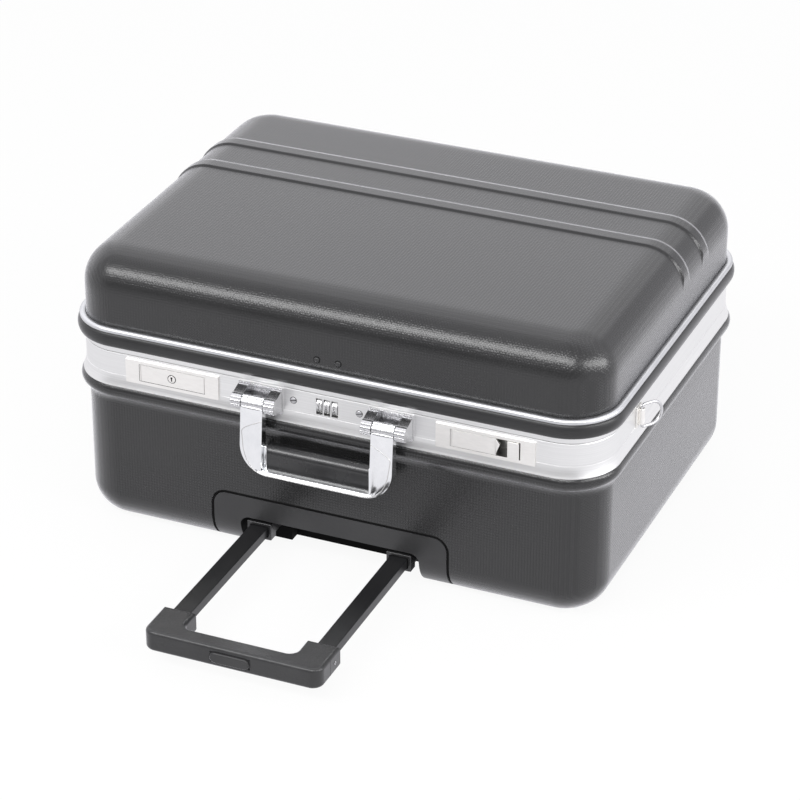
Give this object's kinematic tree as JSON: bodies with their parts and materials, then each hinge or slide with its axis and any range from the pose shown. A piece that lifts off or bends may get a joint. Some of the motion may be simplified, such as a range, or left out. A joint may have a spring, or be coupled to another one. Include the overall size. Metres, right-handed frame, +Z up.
{
  "type": "wheeled tool case",
  "caption": "Hard-shell tool case with an aluminium frame, hinged lid, flap latches, dial lock, carry handle, wheels and a telescopic pull handle.",
  "frame": {"origin": "on the rest plane under the middle of the case's footprint", "axes": "+Z up out of the lid, -Y towards the latches and the pull handle, +X to the right seen from the front"},
  "size_m": [0.5156, 0.571, 0.2597],
  "materials": {
    "shell_black": "satin black with a fine moulded hair-cell grain",
    "bumper_black": "smooth satin black",
    "frame_aluminium": "brushed lengthwise, satin anodised",
    "bead_aluminium": "bright satin",
    "seal_rubber": "matt black",
    "nickel_plate": "pale satin nickel",
    "handle_chrome": "polished chrome",
    "dial_metal": "satin nickel with dark engraved digits",
    "fitting_steel": "zinc plated",
    "grip_black": "satin black",
    "trolley_plastic": "fine matt black",
    "tube_black": "satin black anodised",
    "tyre_rubber": "matt black"
  },
  "bodies": {
    "base": {"base_shell": "shell_black", "base_frame": "frame_aluminium", "trolley_housing": "trolley_plastic", "tube_cover": "shell_black", "trolley_outer_tubes": "tube_black", "wheel_housing_left": "trolley_plastic", "wheel_housing_right": "trolley_plastic", "wheel_axles": "fitting_steel", "rear_feet": "tyre_rubber", "hinge_base_leaves": "fitting_steel", "hinge_pins": "fitting_steel", "lock_case": "fitting_steel", "lock_screws": "nickel_plate", "dial_axle": "fitting_steel", "latch_plate_left": "nickel_plate", "latch_plate_right": "nickel_plate", "latch_pins": "fitting_steel", "handle_bracket_left": "handle_chrome", "handle_bracket_right": "handle_chrome", "handle_pins": "fitting_steel", "handle_bracket_screws": "fitting_steel", "strap_ring_holder_left": "nickel_plate", "strap_ring_holder_right": "nickel_plate", "stay_base_brackets": "fitting_steel"},
    "lid": {"lid_shell": "shell_black", "lid_frame": "frame_aluminium", "lid_seal": "seal_rubber", "lid_bumper": "bumper_black", "lid_bead": "bead_aluminium", "lid_front_plugs": "trolley_plastic", "hinge_lid_leaves": "fitting_steel", "latch_strikes": "fitting_steel", "stay_lid_brackets": "fitting_steel"},
    "stay_base_arms": {"stay_base_arms": "fitting_steel"},
    "stay_lid_arms": {"stay_lid_arms": "fitting_steel"},
    "latch_flap_left": {"latch_flap_left": "nickel_plate"},
    "key_cylinder": {"key_cylinder": "nickel_plate"},
    "latch_flap_right": {"latch_flap_right": "nickel_plate"},
    "slide_button": {"slide_button": "nickel_plate"},
    "latch_hook_left": {"latch_hook_left": "fitting_steel"},
    "latch_hook_right": {"latch_hook_right": "fitting_steel"},
    "dial_wheel_1": {"dial_wheel_1": "dial_metal"},
    "dial_wheel_2": {"dial_wheel_2": "dial_metal"},
    "dial_wheel_3": {"dial_wheel_3": "dial_metal"},
    "carry_handle": {"handle_bail": "handle_chrome", "handle_grip": "grip_black"},
    "strap_ring_left": {"strap_ring_left": "nickel_plate"},
    "strap_ring_right": {"strap_ring_right": "nickel_plate"},
    "trolley_middle": {"trolley_middle_tubes": "tube_black", "trolley_collars": "trolley_plastic"},
    "trolley_inner": {"trolley_inner_tubes": "tube_black", "trolley_grip": "trolley_plastic"},
    "trolley_button": {"trolley_button": "trolley_plastic"},
    "wheel_left": {"wheel_hub_left": "trolley_plastic", "wheel_tyre_left": "tyre_rubber"},
    "wheel_right": {"wheel_hub_right": "trolley_plastic", "wheel_tyre_right": "tyre_rubber"}
  },
  "joints": [
    {"name": "lid_swing", "type": "hinge", "parent": "base", "child": "lid", "pos_m": [0, 0.1877, 0.17165], "axis": [-1, 0, 0], "range_deg": [0, 95]},
    {"name": "stay_base_swing", "type": "hinge", "parent": "base", "child": "stay_base_arms", "pos_m": [0, 0.0977, 0.15765], "axis": [-1, 0, 0], "range_deg": [0, 95]},
    {"name": "stay_lid_swing", "type": "hinge", "parent": "lid", "child": "stay_lid_arms", "pos_m": [0, -0.0123, 0.18565], "axis": [-1, 0, 0], "range_deg": [-95, 0]},
    {"name": "latch_flap_left_swing", "type": "hinge", "parent": "base", "child": "latch_flap_left", "pos_m": [-0.17115, -0.1808, 0.1577], "axis": [0, 0, -1], "range_deg": [0, 45]},
    {"name": "latch_flap_right_swing", "type": "hinge", "parent": "base", "child": "latch_flap_right", "pos_m": [0.11415, -0.1808, 0.1577], "axis": [0, 0, -1], "range_deg": [0, 45]},
    {"name": "latch_hook_left_slide", "type": "slide", "parent": "base", "child": "latch_hook_left", "axis": [0, 0, -1], "range_m": [0, 0.004]},
    {"name": "latch_hook_right_slide", "type": "slide", "parent": "base", "child": "latch_hook_right", "axis": [0, 0, -1], "range_m": [0, 0.004]},
    {"name": "key_turn", "type": "hinge", "parent": "latch_flap_left", "child": "key_cylinder", "pos_m": [-0.14265, -0.1828, 0.1577], "axis": [0, -1, 0], "range_deg": [0, 90]},
    {"name": "slide_button_slide", "type": "slide", "parent": "base", "child": "slide_button", "axis": [-1, 0, 0], "range_m": [0, 0.0095], "stiffness_N_per_m": 150},
    {"name": "dial_1_turn", "type": "hinge", "parent": "base", "child": "dial_wheel_1", "pos_m": [-0.0063, -0.176, 0.16], "axis": [1, 0, 0], "continuous": true},
    {"name": "dial_2_turn", "type": "hinge", "parent": "base", "child": "dial_wheel_2", "pos_m": [0.0007, -0.176, 0.16], "axis": [1, 0, 0], "continuous": true},
    {"name": "dial_3_turn", "type": "hinge", "parent": "base", "child": "dial_wheel_3", "pos_m": [0.0077, -0.176, 0.16], "axis": [1, 0, 0], "continuous": true},
    {"name": "carry_handle_swing", "type": "hinge", "parent": "base", "child": "carry_handle", "pos_m": [0, -0.1952, 0.159], "axis": [-1, 0, 0], "range_deg": [0, 110]},
    {"name": "strap_ring_left_swing", "type": "hinge", "parent": "base", "child": "strap_ring_left", "pos_m": [-0.24475, -0.089, 0.1593], "axis": [0, 0, 1], "range_deg": [-35, 135]},
    {"name": "strap_ring_right_swing", "type": "hinge", "parent": "base", "child": "strap_ring_right", "pos_m": [0.24475, -0.089, 0.1593], "axis": [0, 0, -1], "range_deg": [-35, 135]},
    {"name": "trolley_middle_slide", "type": "slide", "parent": "base", "child": "trolley_middle", "axis": [0, -1, 0], "range_m": [-0.0446, 0.16]},
    {"name": "trolley_inner_slide", "type": "slide", "parent": "trolley_middle", "child": "trolley_inner", "axis": [0, -1, 0], "range_m": [-0.1517, 0.055]},
    {"name": "trolley_button_push", "type": "slide", "parent": "trolley_inner", "child": "trolley_button", "axis": [0, 1, 0], "range_m": [0, 0.0028], "stiffness_N_per_m": 400},
    {"name": "wheel_left_roll", "type": "hinge", "parent": "base", "child": "wheel_left", "pos_m": [-0.181, 0.17, 0.0265], "axis": [1, 0, 0], "continuous": true},
    {"name": "wheel_right_roll", "type": "hinge", "parent": "base", "child": "wheel_right", "pos_m": [0.181, 0.17, 0.0265], "axis": [1, 0, 0], "continuous": true}
  ],
  "couplings": [
    {"joint": "stay_base_swing", "follows": "lid_swing", "ratio": 1},
    {"joint": "stay_lid_swing", "follows": "lid_swing", "ratio": -1},
    {"joint": "latch_hook_left_slide", "follows": "latch_flap_left_swing", "m_per_rad": 0.005},
    {"joint": "latch_hook_right_slide", "follows": "latch_flap_right_swing", "m_per_rad": 0.005}
  ]
}
